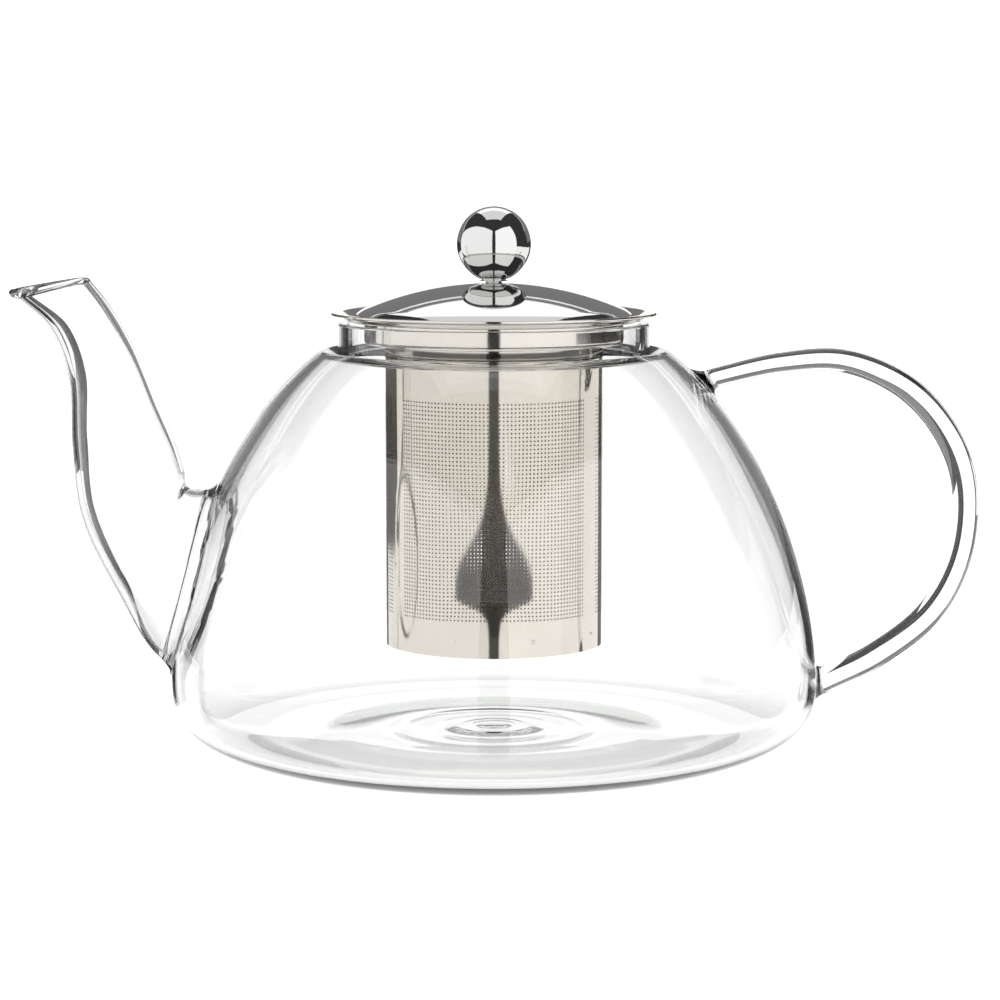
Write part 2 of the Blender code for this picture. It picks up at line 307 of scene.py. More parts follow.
def revolve(name, profile, material, sides=STEEL_SIDES):
    """Turn a closed outline of (radius, height) about Z; a radius of 0 gives a single pole."""
    verts, rings, faces = [], [], []
    for radius, height in profile:
        start = len(verts)
        if radius < POLE:
            verts.append((0.0, 0.0, height))
            rings.append([start])
            continue
        verts += [(radius * cos(tau * i / sides), radius * sin(tau * i / sides), height)
                  for i in range(sides)]
        rings.append(list(range(start, start + sides)))
    pairs = list(zip(rings, rings[1:]))
    if profile[0][0] > POLE:
        pairs.append((rings[-1], rings[0]))
    for low, high in pairs:
        ring_faces(low, high, sides, faces)
    return outward(new_object(name, verts, faces, material))


def loft(name, rings, material, closed):
    """A skin over rings of points: closed joins the last ring to the first, else both are capped."""
    verts, bands, faces = [], [], []
    for ring in rings:
        bands.append(list(range(len(verts), len(verts) + len(ring))))
        verts += ring
    pairs = list(zip(bands, bands[1:]))
    if closed:
        pairs.append((bands[-1], bands[0]))
    for low, high in pairs:
        ring_faces(low, high, len(low), faces)
    if not closed:
        faces += [bands[0], bands[-1]]
    return outward(new_object(name, verts, faces, material))


def outward(made):
    """Turn every face of a closed mesh outwards."""
    shape = bmesh.new()
    shape.from_mesh(made.data)
    bmesh.ops.recalc_face_normals(shape, faces=shape.faces)
    shape.to_mesh(made.data)
    shape.free()
    return made


def arc(centre, radius, start, end, steps):
    """Points of an outline on part of a circle, both ends among them."""
    turns = [start + (end - start) * i / steps for i in range(steps + 1)]
    return [(centre[0] + radius * cos(t), centre[1] + radius * sin(t)) for t in turns]


def soften(points, sizes, steps=7):
    """A closed outline with its own rounding at each corner."""
    line = []
    for i, (point, size) in enumerate(zip(points, sizes)):
        corner = Vector(point)
        before = Vector(points[i - 1]) - corner
        after = Vector(points[(i + 1) % len(points)]) - corner
        if point[0] < POLE or size == 0.0:
            line.append(tuple(point))
            continue
        start = corner + before.normalized() * min(size, before.length * CORNER_SHARE)
        end = corner + after.normalized() * min(size, after.length * CORNER_SHARE)
        for k in range(steps + 1):
            t = k / steps
            line.append(tuple(start * (1 - t) ** 2 + corner * 2 * t * (1 - t) + end * t**2))
    return brace(line)


def brace(line, closed=True):
    """Points close to both ends of each long straight run, so that it shades flat."""
    braced = []
    for i, point in enumerate(line):
        braced.append(point)
        if i == len(line) - 1 and not closed:
            break
        here, ahead = Vector(point), Vector(line[(i + 1) % len(line)])
        if (ahead - here).length > 10 * BRACE:
            way = (ahead - here).normalized() * BRACE
            braced += [tuple(here + way), tuple(ahead - way)]
    return braced


def rounded(points, radius, steps=6):
    """A closed outline with the same rounding at every corner."""
    return soften(points, [radius] * len(points), steps)


def smooth_curve(points, steps):
    """Values on a Catmull-Rom curve through the given tuples, steps of them for each span."""
    ends = [points[0], *points, points[-1]]
    line = []
    for a, b, c, d in zip(ends, ends[1:], ends[2:], ends[3:]):
        for i in range(steps):
            line.append(tuple(curve_value(*v, i / steps) for v in zip(a, b, c, d)))
    line.append(tuple(points[-1]))
    return line


def curve_value(a, b, c, d, t):
    """Catmull-Rom value at a share t of the way from b to c."""
    linear = c - a
    square = 2 * a - 5 * b + 4 * c - d
    cube = 3 * b - 3 * c + d - a
    return b + 0.5 * (linear * t + square * t**2 + cube * t**3)


def combine(target, other, operation):
    """Apply a Boolean of another object to a target and delete the other object."""
    modifier = target.modifiers.new("join", "BOOLEAN")
    modifier.operation = operation
    modifier.solver = "EXACT"
    modifier.object = other
    depsgraph = bpy.context.evaluated_depsgraph_get()
    made = bpy.data.meshes.new_from_object(target.evaluated_get(depsgraph))
    target.modifiers.clear()
    target.data = made
    bpy.data.objects.remove(other, do_unlink=True)


# ---------------------------------------------------------------- materials
def node_material(name):
    material = bpy.data.materials.new(name)
    material.use_nodes = True
    tree = material.node_tree
    return material, tree, tree.nodes["Principled BSDF"]


def add_noise(tree, scale, detail, stretch=(1.0, 1.0, 1.0), roughness=0.5):
    """Noise on object coordinates, stretched along the axes."""
    coords = tree.nodes.new("ShaderNodeTexCoord")
    mapping = tree.nodes.new("ShaderNodeMapping")
    mapping.inputs["Scale"].default_value = stretch
    noise = tree.nodes.new("ShaderNodeTexNoise")
    noise.inputs["Scale"].default_value = scale
    noise.inputs["Detail"].default_value = detail
    noise.inputs["Roughness"].default_value = roughness
    tree.links.new(coords.outputs["Object"], mapping.inputs["Vector"])
    tree.links.new(mapping.outputs["Vector"], noise.inputs["Vector"])
    return noise.outputs["Fac"]


def remap(tree, value, low, high):
    """Spread a value of 0 to 1 between two others."""
    node = tree.nodes.new("ShaderNodeMapRange")
    node.inputs["To Min"].default_value = low
    node.inputs["To Max"].default_value = high
    tree.links.new(value, node.inputs["Value"])
    return node.outputs["Result"]


def add_bump(tree, shader, value, distance):
    bump = tree.nodes.new("ShaderNodeBump")
    bump.inputs["Distance"].default_value = distance
    tree.links.new(value, bump.inputs["Height"])
    tree.links.new(bump.outputs["Normal"], shader.inputs["Normal"])


def glass(name):
    """Clear glass with the slow waviness of hand-blown work; lamps reach what is behind it."""
    material, tree, shader = node_material(name)
    shader.inputs["Base Color"].default_value = (*GLASS_COLOUR, 1.0)
    shader.inputs["Roughness"].default_value = 0.0
    shader.inputs["IOR"].default_value = GLASS_IOR
    shader.inputs["Transmission Weight"].default_value = 1.0
    add_bump(tree, shader, add_noise(tree, WAVE_SCALE, 1.0), WAVE_HEIGHT)
    clear = tree.nodes.new("ShaderNodeBsdfTransparent")
    clear.inputs["Color"].default_value = (*GLASS_SHADOW, 1.0)
    path = tree.nodes.new("ShaderNodeLightPath")
    mix = tree.nodes.new("ShaderNodeMixShader")
    output = tree.nodes["Material Output"]
    tree.links.new(path.outputs["Is Shadow Ray"], mix.inputs["Fac"])
    tree.links.new(shader.outputs["BSDF"], mix.inputs[1])
    tree.links.new(clear.outputs["BSDF"], mix.inputs[2])
    tree.links.new(mix.outputs["Shader"], output.inputs["Surface"])
    depth = tree.nodes.new("ShaderNodeVolumeAbsorption")
    depth.inputs["Color"].default_value = (*GLASS_DEPTH_COLOUR, 1.0)
    depth.inputs["Density"].default_value = GLASS_DENSITY
    tree.links.new(depth.outputs["Volume"], output.inputs["Volume"])
    return material


def steel(name, colour, rough_low, rough_high):
    """Stainless steel: fine grain lines, a slow cloudiness in colour and roughness."""
    material, tree, shader = node_material(name)
    shader.inputs["Metallic"].default_value = 1.0
    lines = add_noise(tree, GRAIN_SCALE, 4.0, GRAIN_STRETCH, 0.6)
    clouds = add_noise(tree, CLOUD_SCALE, 3.0)
    tree.links.new(remap(tree, clouds, rough_low, rough_high), shader.inputs["Roughness"])
    ramp = tree.nodes.new("ShaderNodeMix")
    ramp.data_type = "RGBA"
    dark = tuple(CLOUD_DARK * c for c in colour)
    ramp.inputs["A"].default_value = (*dark, 1.0)
    ramp.inputs["B"].default_value = (*colour, 1.0)
    tree.links.new(clouds, ramp.inputs["Factor"])
    tree.links.new(ramp.outputs["Result"], shader.inputs["Base Color"])
    add_bump(tree, shader, lines, GRAIN_HEIGHT)
    return material


# ---------------------------------------------------------------- vessel shape
def dome_r(height):
    """Outer radius above the heel."""
    share = max(0.0, (height - HEEL_HEIGHT) / DOME_RISE)
    return BODY_R * max(0.0, 1.0 - share**DOME_Z_POWER) ** (1.0 / DOME_R_POWER)


def heel_points(foot_r, outer_r, low, high, steps=26):
    """The rounded heel from the base's flat to the widest part, as a quarter superellipse."""
    points = []
    for i in range(steps + 1):
        angle = 0.5 * pi * i / steps
        reach = sin(angle) ** (2.0 / HEEL_POWER)
        rise = 1.0 - max(0.0, cos(angle)) ** (2.0 / HEEL_POWER)
        points.append((foot_r + (outer_r - foot_r) * reach, low + (high - low) * rise))
    return points


def heel_r(height):
    """Outer radius of that heel at a height."""
    share = 1.0 - max(0.0, min(1.0, height / HEEL_HEIGHT))
    reach = (1.0 - share**HEEL_POWER) ** (1.0 / HEEL_POWER)
    return FOOT_R + (BODY_R - FOOT_R) * reach


def outside_r(height):
    return dome_r(height) if height > HEEL_HEIGHT else heel_r(height)


def wall_at(height):
    """Thickness of the wall, measured level: it grows towards the neck."""
    share = max(0.0, min(1.0, (height - HEEL_HEIGHT) / (SHOULDER_Z - HEEL_HEIGHT)))
    return WALL_LOW + (WALL_HIGH - WALL_LOW) * share * share * (3 - 2 * share)


def floor_z(radius):
    """Inside of the base: a gather in the middle and the rings left by the pontil."""
    height = FLOOR + GATHER_RISE * exp(-((radius / GATHER_R) ** 2))
    for ring, lift, width in PONTIL_RINGS:
        height += lift * exp(-(((radius - ring) / width) ** 2))
    return height


def under_z(radius):
    """Underside of the base: pushed up a little inside the ring that it stands on."""
    rise = FOOT_RISE * (0.5 + 0.5 * cos(pi * min(1.0, radius / FOOT_INNER_R) ** 4))
    ripple = BASE_RIPPLE * cos(radius * BASE_RIPPLE_TURN) * exp(-radius / BASE_RIPPLE_R)
    return max(0.0, rise + ripple)


def dome_heights(top):
    """Even steps up the dome, from just above the heel."""
    return [HEEL_HEIGHT + (top - HEEL_HEIGHT) * i / DOME_STEPS for i in range(1, DOME_STEPS + 1)]


def outer_profile():
    """The outside from the middle of the base up to the start of the straight neck."""
    under_radii = [FOOT_INNER_R * i / BASE_STEPS for i in range(BASE_STEPS)]
    under = [(r, under_z(r)) for r in under_radii]
    under += [(FOOT_INNER_R, 0.0), (0.5 * (FOOT_INNER_R + FOOT_R), 0.0)]
    heel = heel_points(FOOT_R, BODY_R, 0.0, HEEL_HEIGHT)
    dome = [(dome_r(z), z) for z in dome_heights(SHOULDER_Z)]
    shoulder = bend(dome[-2], dome[-1], (NECK_R, NECK_START), (NECK_R, NECK_START + STUB),
                    BEND_STEPS, OUTER_BEND)
    return [*under, *heel, *dome], shoulder


def inner_profile(neck_r):
    """The inside from the middle of the floor up to the start of the straight neck."""
    radii = [FLOOR_R * i / FLOOR_STEPS for i in range(FLOOR_STEPS)]
    floor = [(r, floor_z(r)) for r in radii]
    heel = heel_points(FLOOR_R, BODY_R - WALL_LOW, FLOOR, HEEL_HEIGHT)
    dome = [(dome_r(z) - wall_at(z), z) for z in dome_heights(INNER_SHOULDER_Z)]
    shoulder = bend(dome[-2], dome[-1], (neck_r, INNER_NECK_START),
                    (neck_r, INNER_NECK_START + STUB), BEND_STEPS, INNER_BEND)
    return [*floor, *heel, *dome], shoulder


def body_profile():
    """Outline of the whole wall: up the outside, over the lip and down the inside."""
    inner_neck = NECK_R - NECK_WALL
    outside, shoulder = outer_profile()
    inside, inner_shoulder = inner_profile(inner_neck)
    lip = arc((NECK_R - LIP_ROUND, LIP_TOP - LIP_ROUND), LIP_ROUND, 0.0, 0.5 * pi, 6)
    lip += arc((inner_neck + LIP_ROUND, LIP_TOP - LIP_ROUND), LIP_ROUND, 0.5 * pi, pi, 6)
    neck = brace([*shoulder, *lip, *reversed(inner_shoulder)], closed=False)
    return [*outside, *neck, *reversed(inside)]


def bend(before, start, end, after, steps=10, reach=0.45):
    """A smooth bend from one straight run to the next, leaving out its first point."""
    a, b = Vector(start), Vector(end)
    slope_a = (Vector(start) - Vector(before)).normalized()
    slope_b = (Vector(after) - Vector(end)).normalized()
    pull = (b - a).length * reach
    c, d = a + slope_a * pull, b - slope_b * pull
    points = []
    for i in range(1, steps + 1):
        t = i / steps
        s = 1 - t
        points.append(tuple(a * s**3 + c * 3 * s * s * t + d * 3 * s * t * t + b * t**3))
    return points


def lean(height):
    """How fast the outer radius changes with height."""
    rise = outside_r(height + LEAN_STEP) - outside_r(height - LEAN_STEP)
    return rise / (2 * LEAN_STEP)


def inside_depth(height):
    """Depth of the vessel's inner surface, measured square to the outer one."""
    return -wall_at(height) / hypot(1.0, lean(height))


def depth_and_normal(point):
    """Distance outside the vessel's outer surface, roughly, and that surface's normal."""
    radius = hypot(point.x, point.y)
    slope = lean(point.z)
    scale = hypot(1.0, slope)
    normal = Vector((point.x / radius, point.y / radius, -slope)) / scale
    return (radius - outside_r(point.z)) / scale, normal


def spout_ring(section, inset):
    """One oval section of the spout, turned to lie square to it."""
    x0, z0, x1, z1, half = section
    centre = Vector(((x0 + x1) / 2, 0.0, (z0 + z1) / 2))
    reach = hypot(x1 - x0, z1 - z0) / 2
    long_way = Vector((x0 - x1, 0.0, z0 - z1)).normalized() * (reach - inset)
    wide_way = Vector((0.0, half - inset, 0.0))
    angles = [tau * i / SPOUT_SIDES for i in range(SPOUT_SIDES)]
    return [centre + cos(t) * long_way + sin(t) * wide_way for t in angles]


def along(line, place):
    """The point a number of steps along a line of points, between its points too."""
    first = max(0, min(len(line) - 2, int(place)))
    return line[first].lerp(line[first + 1], place - first)


def crossing(line, start, step, lowest):
    """How far along a line, going one way from a start, it sinks to a depth in the wall."""
    here = start
    while 0 <= here + step < len(line):
        ahead = depth_and_normal(line[here + step])[0]
        if ahead < lowest(line[here + step]):
            behind = depth_and_normal(line[here])[0]
            share = (behind - lowest(line[here])) / (behind - ahead)
            return here + step * max(0.0, min(1.0, share))
        here += step
    return float(here)


def trim(rings, lowest, start, both_ends, count):
    """Cut a loft where it sinks into the vessel's wall, with its rings crowded near the cut."""
    lines = []
    for line in zip(*rings):
        low = crossing(line, start, -1, lowest)
        high = crossing(line, start, 1, lowest) if both_ends else len(line) - 1.0
        spots = []
        for i in range(count + 1):
            t = i / count
            if both_ends:
                ease = t - CROWD_BOTH * sin(tau * t) / tau
            else:
                ease = t * (CROWD_ONE + (1.0 - CROWD_ONE) * t)
            spots.append(along(line, low + (high - low) * ease))
        lines.append(spots)
    return [list(ring) for ring in zip(*lines)]


def swell(rings, size):
    """Spread the rings near the wall into the curved bead of a fused joint."""
    for ring in rings:
        centre = centre_of(ring)
        for i, point in enumerate(ring):
            depth, normal = depth_and_normal(point)
            away = point - centre
            away = (away - away.dot(normal) * normal).normalized()
            ring[i] = point + away * bead(depth, size)
    return rings


def bead(depth, size):
    """How far a fused root swells at a distance from the wall: a hollow quarter circle."""
    if depth >= size:
        return 0.0
    rest = size - max(depth, 0.0)
    rise = size - sqrt(max(0.0, size * size - rest * rest))
    return rise * max(BEAD_LEAST, 1.0 + BEAD_FADE * min(depth, 0.0) / WALL_LOW)


def spout_sections():
    """Sections at even steps along the spout: both ends of the long axis, and half the width."""
    flat = [(*outer, *inner, half) for outer, inner, half in SPOUT_SECTIONS]
    return smooth_curve(flat, SPOUT_STEPS)


def spout_root(point):
    """The spout's wall ends just past the inner surface of the vessel."""
    return inside_depth(point.z) - SPOUT_ROOT


def spout_skin(inset):
    """The spout's outer surface, or the surface at a depth below it, cut off at the vessel."""
    rings = [spout_ring(section, inset) for section in spout_sections()]
    return trim(rings, spout_root, len(rings) - 1, False, SPOUT_RINGS)


def spout_lip(outside, inside):
    """A bead round the edge, melted thicker at the front than at the back."""
    tip = (centre_of(outside[-1]) - centre_of(outside[-4])).normalized()
    lip = []
    for k in range(SPOUT_LIP_STEPS + 1):
        turn = SPOUT_LIP_TURN * (2 * k / SPOUT_LIP_STEPS - 1)
        ring = []
        for i, (a, b) in enumerate(zip(outside[-1], inside[-1])):
            full = SPOUT_LIP_FULL + SPOUT_LIP_UNEVEN * cos(tau * i / SPOUT_SIDES)
            radius = SPOUT_LIP_R * full
            out = (a - b).normalized()
            ring.append(0.5 * (a + b) + radius * (cos(turn) * tip - sin(turn) * out))
        lip.append(ring)
    return lip


def make_spout(material):
    """The spout as one closed skin: up its outside, over the lip and down its inside."""
    inside = spout_skin(SPOUT_WALL)
    outside = swell(spout_skin(0.0), SPOUT_FILLET)
    skin = [*outside[:-1], *spout_lip(outside, inside), *reversed(inside[:-1])]
    return loft("spout_glass", skin, material, closed=True)


def make_bore(material):
    """What opens the wall into the spout: the middle of the spout's own wall, carried inwards."""
    sections = spout_sections()[: BORE_SPANS * SPOUT_STEPS]
    return loft("bore", [spout_ring(s, 0.5 * SPOUT_WALL) for s in sections], material, closed=False)


def centre_of(ring):
    return sum(ring, Vector()) / len(ring)


def handle_root(point):
    """The rod ends inside the vessel's wall."""
    return HANDLE_ROOT * inside_depth(point.z)


def make_handle(material):
    """A bent rod, drawn thinner at its upper end, that swells where it meets the wall."""
    line = [Vector((x, 0.0, z)) for x, z in smooth_curve(HANDLE_PATH, HANDLE_STEPS)]
    rings = []
    travelled = 0.0
    sideways = Vector((0.0, 1.0, 0.0))
    for i, point in enumerate(line):
        ahead = line[min(i + 1, len(line) - 1)] - line[max(i - 1, 0)]
        if i and depth_and_normal(point)[0] > 0.0:
            travelled += (point - line[i - 1]).length
        across = ahead.normalized().cross(sideways)
        taper = min(1.0, travelled / HANDLE_TAPER_LENGTH)
        radius = HANDLE_TOP_R + (HANDLE_R - HANDLE_TOP_R) * taper
        turns = [tau * k / HANDLE_SIDES for k in range(HANDLE_SIDES)]
        rings.append([point + radius * (cos(t) * across + sin(t) * sideways) for t in turns])
    rings = trim(rings, handle_root, len(rings) // 2, True, HANDLE_RINGS)
    return loft("handle_glass", swell(rings, HANDLE_FILLET), material, closed=False)


def make_vessel(material):
    """Body, spout and handle fused into one skin of glass, open from the body into the spout."""
    body = revolve("vessel_glass", body_profile(), material, VESSEL_SIDES)
    combine(body, make_bore(material), "DIFFERENCE")
    combine(body, make_spout(material), "UNION")
    combine(body, make_handle(material), "UNION")
    body.data.shade_smooth()
    body.data.set_sharp_from_angle(angle=JOINT_CREASE)
    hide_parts("glass_body", "spout", "handle")
    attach(body, "vessel")


# ---------------------------------------------------------------- infuser
def panel_centre(k):
    """Angle of the middle of a panel; the first one faces the front of the pot."""
    return -0.5 * pi + k * tau / PANELS


def tube_place(angle, height, depth):
    """A point of the strainer's wall; depth is 0 outside and 1 inside."""
    radius = TUBE_R - depth * TUBE_WALL - dent(angle, height)
    return (radius * cos(angle), radius * sin(angle), height)


def facet_depths():
    """How deep a fully flattened panel lies below the round, from its middle outwards.

    Its surface turns little with the angle out to DENT_FLAT, then catches up with the round.
    """
    step = DENT_HALF / DENT_STEPS
    slopes = []
    for i in range(DENT_STEPS):
        off = (i + 0.5) * step
        late = max(0.0, (off - DENT_FLAT) / (DENT_HALF - DENT_FLAT))
        slopes.append(DENT_DEPTH * off * (1.0 - late * late * (3 - 2 * late)))
    depths = [0.0]
    for slope in reversed(slopes):
        depths.append(depths[-1] + TUBE_R * slope * step)
    return depths[::-1]


FACET = facet_depths()


def dent_level(height):
    """Share of the full flattening at a height: most near the panel's lower edge."""
    if not DENT_LOW < height < DENT_HIGH:
        return 0.0
    if height < DENT_MIDDLE:
        share = (height - DENT_LOW) / (DENT_MIDDLE - DENT_LOW)
        return share * share * (3 - 2 * share)
    share = (height - DENT_MIDDLE) / (DENT_HIGH - DENT_MIDDLE)
    return cos(0.5 * pi * share**DENT_FADE) ** 2


def dent(angle, height):
    """How far the thin perforated panels are flattened at one place."""
    level = dent_level(height)
    depth = 0.0
    for k in range(PANELS):
        off = abs((angle - panel_centre(k) + pi) % tau - pi)
        if level and off < DENT_HALF:
            place = off / DENT_HALF * DENT_STEPS
            i = int(place)
            depth += level * (FACET[i] + (FACET[i + 1] - FACET[i]) * (place - i))
    return depth


def holed_cell(verts, place, outer, inner, first, second, hole):
    """Faces of one cell with a hole through it; outer and inner are its corners on each side."""
    rims = []
    for side in (0, 1):
        start = len(verts)
        for k in range(HOLE_SIDES):
            t = tau * (k + 0.5) / HOLE_SIDES - 0.75 * pi
            a = 0.5 * sum(first) + 0.5 * hole[0] * (first[1] - first[0]) * cos(t)
            b = 0.5 * sum(second) + 0.5 * hole[1] * (second[1] - second[0]) * sin(t)
            verts.append(place(a, b, side))
        rims.append(list(range(start, start + HOLE_SIDES)))
    near, far = rims
    faces = []
    for k in range(4):
        n = (k + 1) % 4
        p, q, r = (2 * k - 1) % HOLE_SIDES, 2 * k, 2 * k + 1
        faces.append([outer[k], near[q], near[p]])
        faces.append([outer[k], outer[n], near[r], near[q]])
        faces.append([inner[k], far[p], far[q]])
        faces.append([inner[k], far[q], far[r], inner[n]])
    for k in range(HOLE_SIDES):
        n = (k + 1) % HOLE_SIDES
        faces.append([near[k], near[n], far[n], far[k]])
    return faces


def sheet_cells(name, first, second, kind, place, hole, material, closed_first=False):
    """A sheet of cells on a grid: kind(i, j) is 0 for none, 1 for plain, 2 for a cell with a hole.

    place(a, b, depth) gives a point; hole is the hole's size as shares of a cell's two sides.
    """
    verts, faces, corner_ids = [], [], {}
    columns, rows = len(first) - 1, len(second) - 1

    def corner(i, j, side):
        i = i % columns if closed_first else i
        key = (i, j, side)
        if key not in corner_ids:
            corner_ids[key] = len(verts)
            verts.append(place(first[i], second[j], side))
        return corner_ids[key]

    def filled(i, j):
        if closed_first:
            i %= columns
        return 0 <= i < columns and 0 <= j < rows and kind(i, j) > 0

    for i in range(columns):
        for j in range(rows):
            what = kind(i, j)
            if not what:
                continue
            square = ((i, j), (i + 1, j), (i + 1, j + 1), (i, j + 1))
            outer = [corner(*c, 0) for c in square]
            inner = [corner(*c, 1) for c in square]
            if what == 1:
                faces += [outer, inner[::-1]]
            else:
                faces += holed_cell(verts, place, outer, inner, first[i:i + 2], second[j:j + 2], hole)
            for k, (di, dj) in enumerate(((0, -1), (1, 0), (0, 1), (-1, 0))):
                if not filled(i + di, j + dj):
                    n = (k + 1) % 4
                    faces.append([outer[k], inner[k], inner[n], outer[n]])
    return outward(new_object(name, verts, faces, material))


def make_tube(material):
    """The strainer tube: a frame of plain bands and strips, and three perforated panels."""
    climb = PANEL_HIGH - PANEL_LOW
    hole = (HOLE_D / (2 * PANEL_HALF * TUBE_R / PANEL_COLUMNS), HOLE_D / (climb / PANEL_ROWS))
    heights = [PANEL_LOW + climb * j / PANEL_ROWS for j in range(PANEL_ROWS + 1)]
    strip = tau / PANELS - 2 * PANEL_HALF
    pieces, angles, windows = [], [], []
    for k in range(PANELS):
        start = panel_centre(k) - PANEL_HALF
        own = [start + 2 * PANEL_HALF * i / PANEL_COLUMNS for i in range(PANEL_COLUMNS + 1)]
        pieces.append(sheet_cells(f"strainer_panel_{k + 1}", own, heights, lambda i, j: 2,
                                  tube_place, hole, material))
        windows += [True] * PANEL_COLUMNS + [False] * STRIP_COLUMNS
        angles += own + [own[-1] + strip * s / STRIP_COLUMNS for s in range(1, STRIP_COLUMNS)]
    angles.append(angles[0] + tau)
    low = [TUBE_LOW.z] + [TUBE_LOW.z + edge for edge in TUBE_EDGE]
    low += [DENT_LOW + (PANEL_LOW - DENT_LOW) * j / LOW_ROWS for j in range(LOW_ROWS)]
    top = [0.5 * (PANEL_HIGH + TUBE_HIGH.z), TUBE_HIGH.z]

    def frame_kind(i, j):
        beside_panels = len(low) <= j < len(low) + PANEL_ROWS
        return 0 if beside_panels and windows[i] else 1

    pieces.append(sheet_cells("strainer_frame", angles, low + heights + top, frame_kind,
                              tube_place, hole, material, closed_first=True))
    for piece in pieces:
        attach(piece, "infuser")
    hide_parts("infuser_tube")


def make_spot_welds(material):
    """Small weld marks where the bottom disc is fixed inside the tube."""
    height = Vector((0.0, 0.0, 0.5 * (DISC_LOW.z + DISC_HIGH.z) + WELD_HEIGHT))
    outline = [(0.0, -WELD_SUNK), (WELD_R, -WELD_SUNK), *WELD_OUTLINE]
    for k in range(WELD_COUNT):
        angle = -0.5 * pi + WELD_SPACING * (k - 0.5)
        outwards = Vector((cos(angle), sin(angle), 0.0))
        weld = revolve(f"spot_weld_{k + 1}", outline, material, WELD_SIDES)
        turn = outwards.to_track_quat("Z", "Y").to_matrix().to_4x4()
        weld.data.transform(Matrix.Translation(outwards * TUBE_R + height) @ turn)
        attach(weld, "infuser")


def make_disc(material):
    """Perforated bottom of the strainer inside a plain rim."""
    radius = DISC_HIGH.x
    rim_inner = radius - DISC_RIM
    count = int(2 * radius / DISC_PITCH) + 1
    grid = [DISC_PITCH * (i - count / 2) for i in range(count + 1)]
    thick = DISC_HIGH.z - DISC_LOW.z - 2 * DISC_SUNK

    def kind(i, j):
        far = max(hypot(grid[i + a], grid[j + b]) for a in (0, 1) for b in (0, 1))
        return 2 if far < rim_inner + DISC_LAP else 0

    def place(x, y, depth):
        return (x, y, DISC_LOW.z + DISC_SUNK + thick * depth)

    share = HOLE_D / DISC_PITCH
    plate = sheet_cells("strainer_bottom", grid, grid, kind, place, (share, share), material)
    outline = [(rim_inner, DISC_LOW.z), (radius, DISC_LOW.z), (radius, DISC_HIGH.z),
               (rim_inner, DISC_HIGH.z)]
    rim = revolve("strainer_bottom_rim", rounded(outline, 0.0002, 3), material, SMALL_SIDES)
    for piece in (plate, rim):
        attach(piece, "infuser")
    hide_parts("infuser_bottom")


def make_collar(material):
    """Pressed rim, collar and shoulder, with the soft bends of drawn sheet."""
    seat = LIP_TOP + RIM_GAP
    low = COLLAR_LOW.z
    inner = TUBE_R - TUBE_WALL
    rim_r, rim_top = COLLAR_HIGH.x, COLLAR_HIGH.z
    # each corner of the sheet's outline with the length of its rounding
    corners = [
        ((inner, low), 0.0001),
        ((COLLAR_R, low), 0.0012),
        ((COLLAR_R, seat), 0.0004),
        ((RIM_FOOT_R, seat), 0.0006),
        ((RIM_BEND_R, rim_top - SHEET - 0.0003), 0.0006),
        ((rim_r, rim_top - SHEET), 0.0003),
        ((rim_r, rim_top), 0.0003),
        ((RIM_BEND_R - 0.0004, rim_top - 0.0002), 0.0008),
        ((RIM_FOOT_R - 0.0005, seat + SHEET), 0.0006),
        ((COLLAR_R - SHEET, seat + SHEET), 0.0004),
        ((COLLAR_R - SHEET, low + SHEET), 0.0008),
        ((inner, low + SHEET), 0.0001),
    ]
    outline, sizes = zip(*corners)
    collar = revolve("infuser_rim", soften(outline, sizes), material, ROUND_SIDES)
    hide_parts("infuser_collar")
    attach(collar, "infuser")


# ---------------------------------------------------------------- lid
def lid_curve(low_r, high_r, drop, steps=30):
    """Part of the cover's spherical cap, from one radius to another."""
    rise = LID_HIGH.z - LID_FOOT
    sphere = (LID_DOME_R**2 + rise**2) / (2 * rise)
    radii = [low_r + (high_r - low_r) * i / steps for i in range(steps + 1)]
    return [(r, LID_HIGH.z - drop - sphere + sqrt(sphere**2 - r**2)) for r in radii]


def make_lid(material):
    """A domed cover with a sloping brim below a crease."""
    seat = LID_LOW.z + LID_GAP
    edge_r = 0.5 * SHEET
    edge_centre = (LID_R - edge_r, seat + edge_r)
    top = lid_curve(LID_DOME_R, LID_HOLE_R, 0.0)
    under = lid_curve(LID_HOLE_R, LID_DOME_R - LID_UNDER_IN, SHEET)
    edge = arc(edge_centre, edge_r, -0.5 * pi, 0.35 * pi, 8)
    crease = bend(edge[-2], edge[-1], top[0], top[1], 12)
    under_bend = bend(under[-2], under[-1], (LID_R - edge_r, seat), (LID_R, seat), 8)[:-1]
    profile = [*edge, *crease, *top[1:], *under, *under_bend]
    lid = revolve("lid_cover", profile, material, ROUND_SIDES)
    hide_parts("lid_dome")
    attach(lid, "lid")


def make_ring(material):
    """The ring under the lid that finds the middle of the collar."""
    radius = RING_HIGH.x
    inner = radius - RING_WALL
    low, high = RING_LOW.z, RING_HIGH.z
    outline = [(inner, low), (radius, low), (radius, high), (inner, high)]
    ring = revolve("lid_inner_ring", rounded(outline, 0.0002, 4), material, ROUND_SIDES)
    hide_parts("lid_ring")
    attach(ring, "lid")


